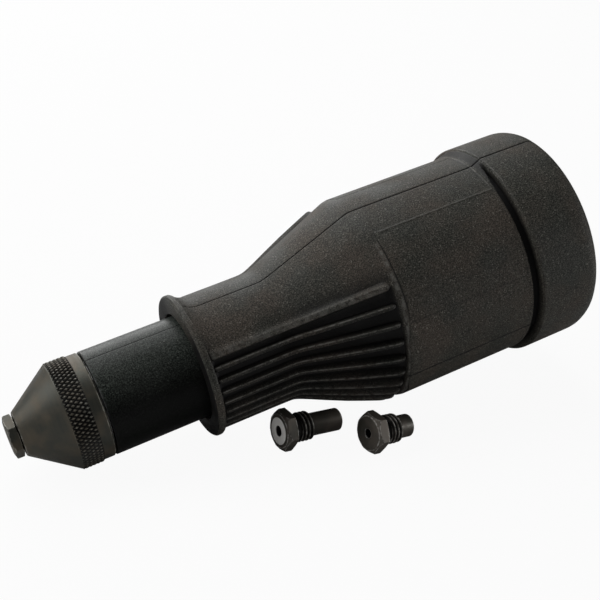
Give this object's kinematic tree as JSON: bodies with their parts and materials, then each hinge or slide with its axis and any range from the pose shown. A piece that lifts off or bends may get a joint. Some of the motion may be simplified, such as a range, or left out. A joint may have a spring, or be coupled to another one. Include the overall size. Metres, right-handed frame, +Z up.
{
  "type": "riveting drill adapter",
  "caption": "Blind rivet adapter for a drill: ribbed bell housing, sleeved barrel, knurled nose cap, screw-drawn jaws on a hex shank, and spare nozzles.",
  "frame": {"origin": "on the surface that it lies on, under the middle of the bounding box", "axes": "+X from the nose to the open bell, level, +Z up, +Y away from the side with the spare nozzles; the adapter lies on its knurled band and on the tips of its ribs, so its own axis climbs 9.64 degrees towards +X"},
  "size_m": [0.18, 0.072, 0.0751],
  "materials": {
    "housing_plastic": "grained charcoal moulding",
    "sleeve_plastic": "satin black moulding",
    "black_oxide_steel": "black oxide",
    "bright_steel": "turned",
    "bearing_steel": "ground",
    "cage_brass": "stamped",
    "spring_steel": "oiled"
  },
  "bodies": {
    "housing": {"grip_housing": "housing_plastic", "barrel_sleeve": "sleeve_plastic", "barrel_liner": "bright_steel", "guide_key_upper": "bright_steel", "guide_key_lower": "bright_steel", "bearing_carrier": "bright_steel", "bearing_circlip": "spring_steel", "thrust_washer_front": "bearing_steel", "flange_screw_1": "black_oxide_steel", "flange_screw_2": "black_oxide_steel", "flange_screw_3": "black_oxide_steel", "flange_screw_4": "black_oxide_steel"},
    "spindle": {"lead_screw": "bright_steel", "thrust_washer_rear": "bearing_steel"},
    "ball_train": {"ball_cage": "cage_brass", "thrust_ball_01": "bearing_steel", "thrust_ball_02": "bearing_steel", "thrust_ball_03": "bearing_steel", "thrust_ball_04": "bearing_steel", "thrust_ball_05": "bearing_steel", "thrust_ball_06": "bearing_steel", "thrust_ball_07": "bearing_steel", "thrust_ball_08": "bearing_steel", "thrust_ball_09": "bearing_steel", "thrust_ball_10": "bearing_steel"},
    "draw": {"draw_nut": "bright_steel", "pull_tube": "bright_steel", "jaw_case": "bright_steel", "jaw_spring": "spring_steel"},
    "jaw_upper": {"jaw_1": "bright_steel"},
    "jaw_front": {"jaw_2": "bright_steel"},
    "jaw_back": {"jaw_3": "bright_steel"},
    "pusher": {"jaw_pusher": "bright_steel"},
    "nose": {"nose_cap": "black_oxide_steel"},
    "nozzle": {"nozzle_fitted": "black_oxide_steel"},
    "spare_long": {"nozzle_spare_long": "black_oxide_steel"},
    "spare_short": {"nozzle_spare_short": "black_oxide_steel"}
  },
  "joints": [
    {"name": "spindle_spin", "type": "hinge", "parent": "housing", "child": "spindle", "pos_m": [0.02399, 0.00251, 0.03232], "axis": [-0.9859, 0, -0.1675], "range_deg": [0, 1680]},
    {"name": "jaw_draw", "type": "slide", "parent": "housing", "child": "draw", "axis": [0.9859, 0, 0.1675], "range_m": [0, 0.014]},
    {"name": "cage_spin", "type": "hinge", "parent": "housing", "child": "ball_train", "pos_m": [0.01908, 0.00251, 0.03148], "axis": [-0.9859, 0, -0.1675], "range_deg": [0, 840]},
    {"name": "jaw_1_slide", "type": "slide", "parent": "draw", "child": "jaw_upper", "axis": [0.9198, -0.0242, 0.3916], "range_m": [0, 0.002], "stiffness_N_per_m": 1500, "springref_m": -0.002},
    {"name": "jaw_2_slide", "type": "slide", "parent": "draw", "child": "jaw_front", "axis": [0.9816, -0.1888, 0.0279], "range_m": [0, 0.002]},
    {"name": "jaw_3_slide", "type": "slide", "parent": "draw", "child": "jaw_back", "axis": [0.9746, 0.213, 0.0692], "range_m": [0, 0.002]},
    {"name": "pusher_slide", "type": "slide", "parent": "draw", "child": "pusher", "axis": [0.9859, 0, 0.1675], "range_m": [0, 0.002], "deforming": ["jaw_spring"]},
    {"name": "nose_cap_off", "type": "slide", "parent": "housing", "child": "nose", "axis": [-0.9859, 0, -0.1675], "range_m": [0, 0.03]},
    {"name": "nozzle_off", "type": "slide", "parent": "nose", "child": "nozzle", "axis": [-0.9859, 0, -0.1675], "range_m": [0, 0.022]},
    {"name": "spare_long_lift", "type": "slide", "parent": "housing", "child": "spare_long", "axis": [0, -0.866, 0.5], "range_m": [0, 0.04]},
    {"name": "spare_short_lift", "type": "slide", "parent": "housing", "child": "spare_short", "axis": [0, -0.866, 0.5], "range_m": [0, 0.04]}
  ],
  "couplings": [
    {"joint": "spindle_spin", "follows": "jaw_draw", "rad_per_m": 2094.4},
    {"joint": "cage_spin", "follows": "jaw_draw", "rad_per_m": 1047.2},
    {"joint": "jaw_2_slide", "follows": "jaw_1_slide", "ratio": 1},
    {"joint": "jaw_3_slide", "follows": "jaw_1_slide", "ratio": 1},
    {"joint": "pusher_slide", "follows": "jaw_1_slide", "ratio": 0.9724}
  ]
}
